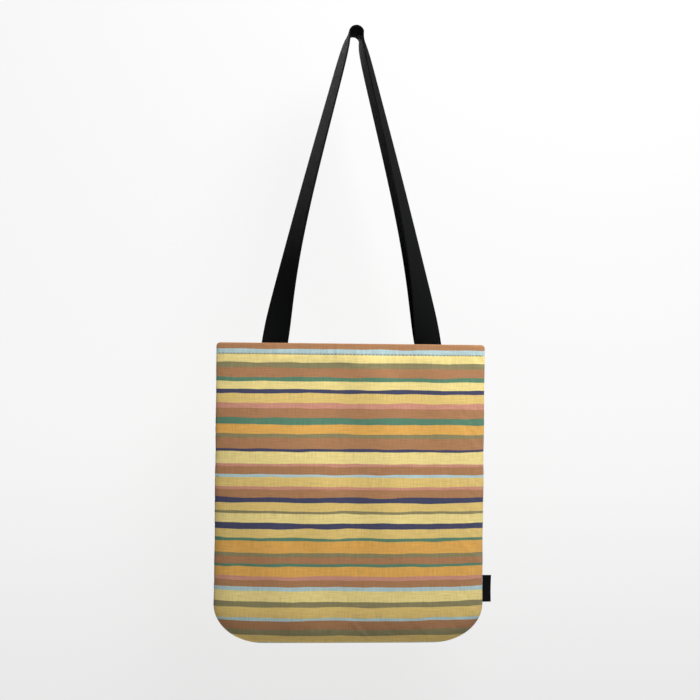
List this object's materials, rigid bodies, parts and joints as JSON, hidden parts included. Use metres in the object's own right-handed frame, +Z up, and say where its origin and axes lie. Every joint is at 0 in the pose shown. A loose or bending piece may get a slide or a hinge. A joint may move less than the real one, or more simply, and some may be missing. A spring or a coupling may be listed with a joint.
{
  "type": "canvas tote bag",
  "caption": "Flat canvas tote bag printed with painted stripes, hung by two black webbing handles that lie side by side over a peg.",
  "frame": {"origin": "on the axis of the round peg that both handles hang over, midway between the front and back edges of the two webbings", "axes": "+Z up, -Y towards the front of the bag, +X towards the right side seam as seen from the front; the peg lies along Y"},
  "size_m": [0.341, 0.0646, 0.7513],
  "materials": {
    "printed_canvas": "plain-weave cloth printed with painted stripes in ochre, cream, brown, olive, navy, green, pink and pale blue",
    "plain_canvas": "unprinted reverse of the cloth, overlocked",
    "black_webbing": "black cotton webbing, ribbed weave",
    "label_ribbon": "black woven ribbon, blank",
    "hem_thread": "polyester sewing thread",
    "seam_thread": "off-white overlock thread",
    "black_thread": "black sewing thread"
  },
  "bodies": {
    "bag": {"left_side_seam": "plain_canvas", "right_side_seam": "plain_canvas", "bottom_seam": "plain_canvas", "left_seam_thread": "seam_thread", "right_seam_thread": "seam_thread", "bottom_seam_thread": "seam_thread"},
    "front_face": {"front_panel": "printed_canvas", "front_hem": "printed_canvas", "front_hem_thread": "hem_thread", "front_left_handle_end": "black_webbing", "front_right_handle_end": "black_webbing", "front_left_tack": "black_thread", "front_right_tack": "black_thread"},
    "back_face": {"back_panel": "printed_canvas", "back_hem": "printed_canvas", "back_hem_thread": "hem_thread", "back_left_handle_end": "black_webbing", "back_right_handle_end": "black_webbing", "back_left_tack": "black_thread", "back_right_tack": "black_thread"},
    "front_handle": {"front_handle": "black_webbing"},
    "back_handle": {"back_handle": "black_webbing"},
    "label": {"side_label": "label_ribbon"}
  },
  "joints": [
    {"name": "front_mouth", "type": "hinge", "parent": "bag", "child": "front_face", "pos_m": [0, 0, -0.742], "axis": [1, 0, 0], "range_deg": [0, 5]},
    {"name": "back_mouth", "type": "hinge", "parent": "bag", "child": "back_face", "pos_m": [0, 0, -0.742], "axis": [-1, 0, 0], "range_deg": [0, 5]},
    {"name": "front_handle_fold", "type": "hinge", "parent": "front_face", "child": "front_handle", "pos_m": [0, -0.01, -0.375], "axis": [1, 0, 0], "range_deg": [0, 165]},
    {"name": "back_handle_fold", "type": "hinge", "parent": "back_face", "child": "back_handle", "pos_m": [0, 0.01, -0.375], "axis": [-1, 0, 0], "range_deg": [0, 165]},
    {"name": "label_flip", "type": "hinge", "parent": "bag", "child": "label", "pos_m": [0.1659, 0, -0.6755], "axis": [0, 0, 1], "range_deg": [-80, 80]}
  ],
  "couplings": [
    {"joint": "back_mouth", "follows": "front_mouth", "ratio": 1}
  ]
}
